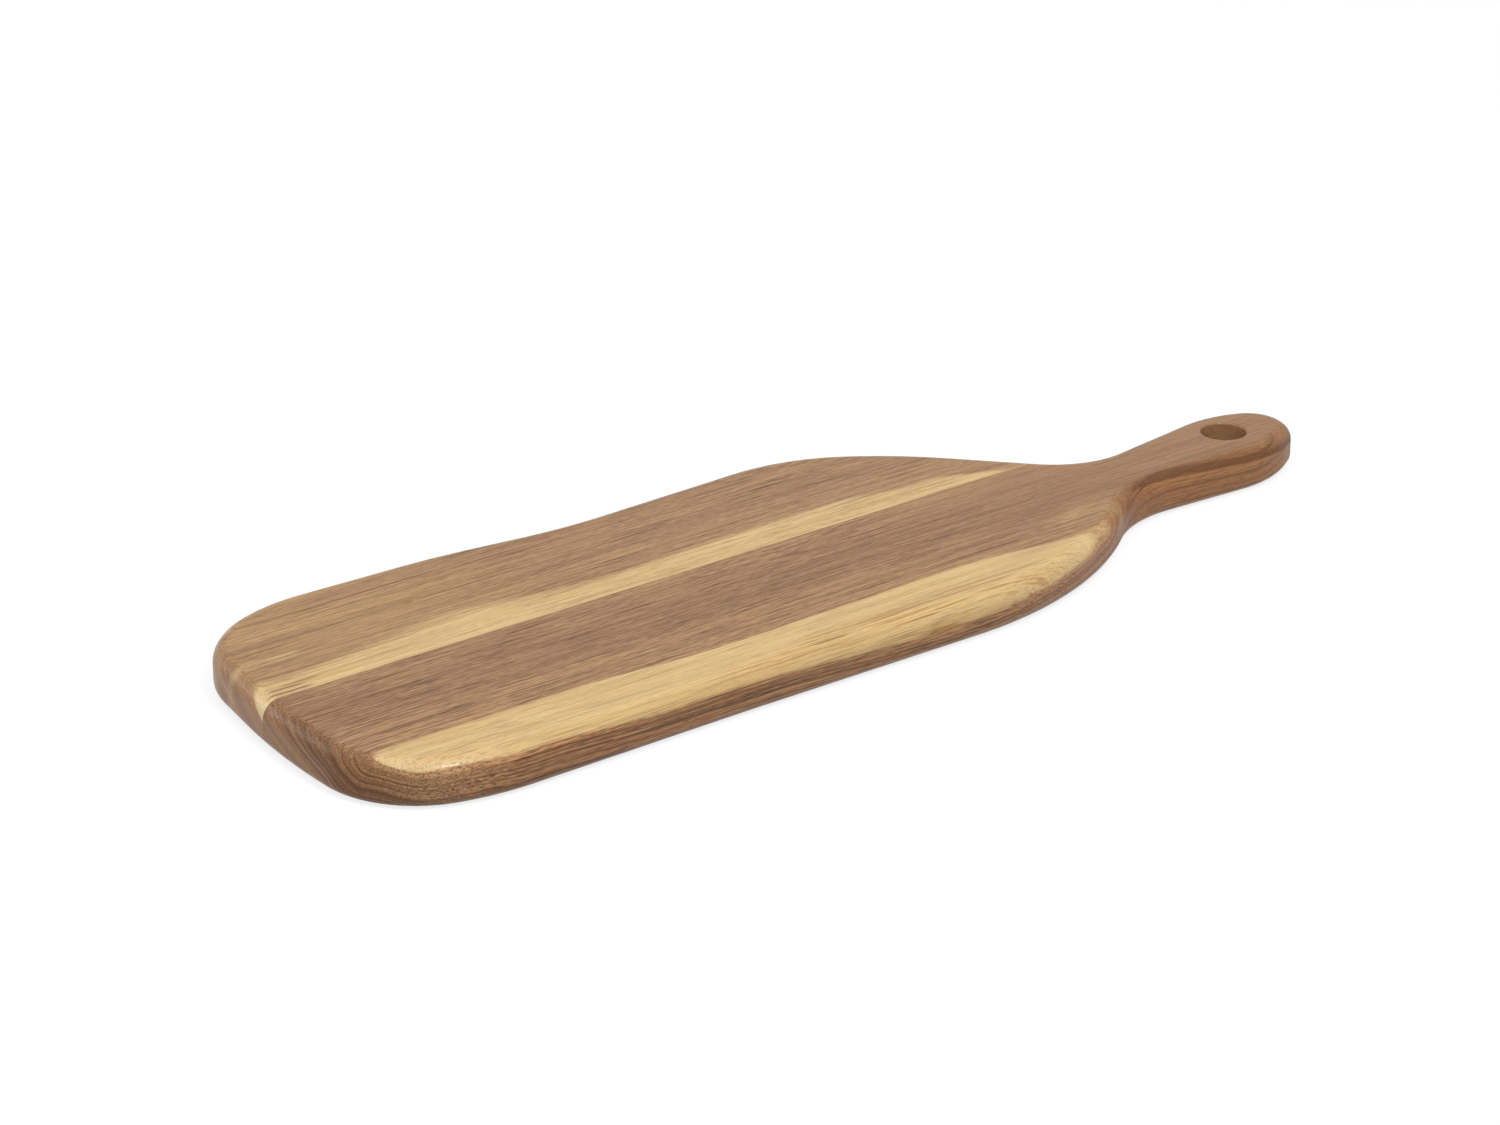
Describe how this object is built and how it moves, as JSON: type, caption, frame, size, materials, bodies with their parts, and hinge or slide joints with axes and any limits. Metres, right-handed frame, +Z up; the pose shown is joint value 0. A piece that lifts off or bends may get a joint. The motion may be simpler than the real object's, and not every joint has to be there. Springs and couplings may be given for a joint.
{
  "type": "paddle serving board",
  "caption": "Paddle-shaped wooden serving board of edge-glued staves, with rounded edges, an offset handle and a hanging hole.",
  "frame": {"origin": "centre of the bounding box, on the resting face", "axes": "+X along the grain from the blade to the handle's tip, +Y to the rear edge, +Z up out of the serving face"},
  "size_m": [0.5248, 0.1788, 0.019],
  "materials": {
    "front_wood": "satin oil over straight brown heartwood grain, with a pale sapwood band along the front edge",
    "rear_wood": "satin oil over straight brown heartwood grain, with pale sapwood along the glue line",
    "glue": "thin dark glue line, sanded flush"
  },
  "bodies": {
    "root": {"front_stave": "front_wood", "rear_stave": "rear_wood", "glue_line": "glue"}
  },
  "joints": []
}
